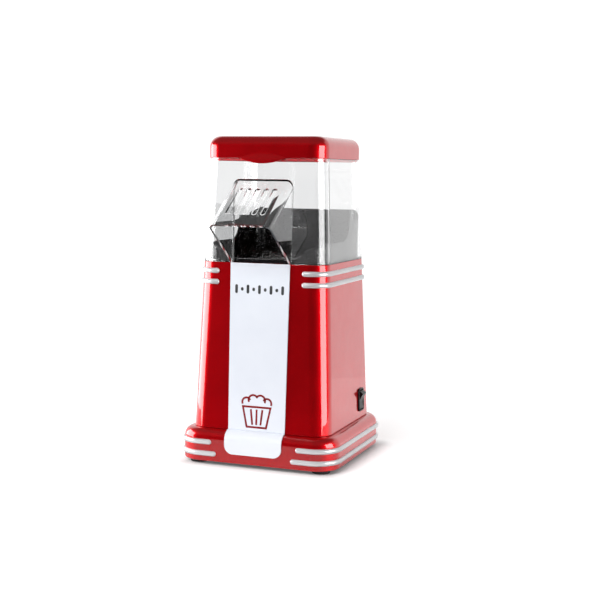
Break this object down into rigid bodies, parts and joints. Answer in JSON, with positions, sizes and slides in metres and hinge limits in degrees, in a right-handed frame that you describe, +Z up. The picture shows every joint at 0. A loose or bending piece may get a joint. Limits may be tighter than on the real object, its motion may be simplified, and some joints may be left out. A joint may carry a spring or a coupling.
{
  "type": "popcorn maker",
  "caption": "Upright square hot-air popcorn maker with a tapered red casing, clear lift-off cover with a sloping chute hood, lift-off lid, black bowl guard and side rocker switch.",
  "frame": {"origin": "on the floor plane, at the upright axis shared by the casing, the popping chamber and the fan", "axes": "+Z up; -Y towards the front with the chute and the white strip; +X towards the side with the switch"},
  "size_m": [0.1558, 0.1904, 0.3],
  "materials": {
    "casing_red": "metallic red gloss lacquer",
    "trim_silver": "satin silver",
    "strip_white": "smooth gloss",
    "clear_plastic": "clear polished",
    "guard_black": "gloss",
    "plate_black": "fine texture",
    "foot_rubber": "matte",
    "screw_steel": "zinc plated",
    "chamber_aluminium": "spun satin",
    "gasket_white": "matte",
    "duct_black": "heat-resistant moulding",
    "mica": "flaky satin",
    "heating_wire": "oxidised",
    "terminal_brass": "plated",
    "motor_steel": "zinc plated",
    "motor_plastic": "moulded",
    "magnet": "ground",
    "rotor_iron": "laminated",
    "fan_plastic": "moulded",
    "board": "phenolic board",
    "diode_black": "moulded",
    "block_ivory": "moulded",
    "switch_black": "gloss",
    "lead_red": "silicone sleeve",
    "lead_black": "silicone sleeve"
  },
  "bodies": {
    "casing": {"main_housing": "casing_red", "base_skirt": "casing_red", "bottom_plate": "plate_black", "rubber_foot_1": "foot_rubber", "rubber_foot_2": "foot_rubber", "rubber_foot_3": "foot_rubber", "rubber_foot_4": "foot_rubber", "foot_screws": "screw_steel", "housing_screws": "screw_steel", "deck_screws": "screw_steel", "mount_screws": "screw_steel", "motor_screws": "screw_steel", "front_strip": "strip_white", "base_strip": "strip_white", "body_band_upper": "trim_silver", "body_band_lower": "trim_silver", "base_band_upper": "trim_silver", "base_band_lower": "trim_silver", "bowl_guard": "guard_black", "popping_chamber": "chamber_aluminium", "chamber_gasket": "gasket_white", "air_duct": "duct_black", "mica_board_long": "mica", "mica_board_cross": "mica", "heating_coil": "heating_wire", "heater_terminals": "terminal_brass", "thermostat": "motor_steel", "thermal_fuse": "terminal_brass", "fuse_clip": "screw_steel", "motor_mount": "duct_black", "motor_can": "motor_steel", "motor_end_cap": "motor_plastic", "motor_magnets": "magnet", "rectifier_board": "board", "rectifier_diodes": "diode_black", "terminal_block": "block_ivory", "block_screws": "terminal_brass", "switch_housing": "switch_black", "switch_terminals": "terminal_brass", "cord_gland": "plate_black", "cord_gland_nut": "plate_black", "lead_block_to_switch": "lead_red", "lead_switch_to_heater": "lead_red", "lead_heater_to_thermostat": "lead_red", "lead_thermostat_to_fuse": "lead_red", "lead_fuse_to_block": "lead_black", "lead_motor_positive": "lead_red", "lead_motor_negative": "lead_black"},
    "cover": {"clear_cover": "clear_plastic", "chute_hood": "clear_plastic"},
    "lid": {"lid": "casing_red"},
    "rocker": {"switch_rocker": "switch_black"},
    "fan": {"motor_rotor": "rotor_iron", "motor_shaft": "screw_steel", "fan_impeller": "fan_plastic"}
  },
  "joints": [
    {"name": "cover_lift", "type": "slide", "parent": "casing", "child": "cover", "axis": [0, 0, 1], "range_m": [0, 0.09]},
    {"name": "lid_lift", "type": "slide", "parent": "cover", "child": "lid", "axis": [0, 0, 1], "range_m": [0, 0.06]},
    {"name": "switch_rock", "type": "hinge", "parent": "casing", "child": "rocker", "pos_m": [0.06398, 0.033, 0.0509], "axis": [0, -1, 0], "range_deg": [0, 24]},
    {"name": "fan_spin", "type": "hinge", "parent": "casing", "child": "fan", "pos_m": [0, 0, 0.06], "axis": [0, 0, 1], "continuous": true}
  ]
}
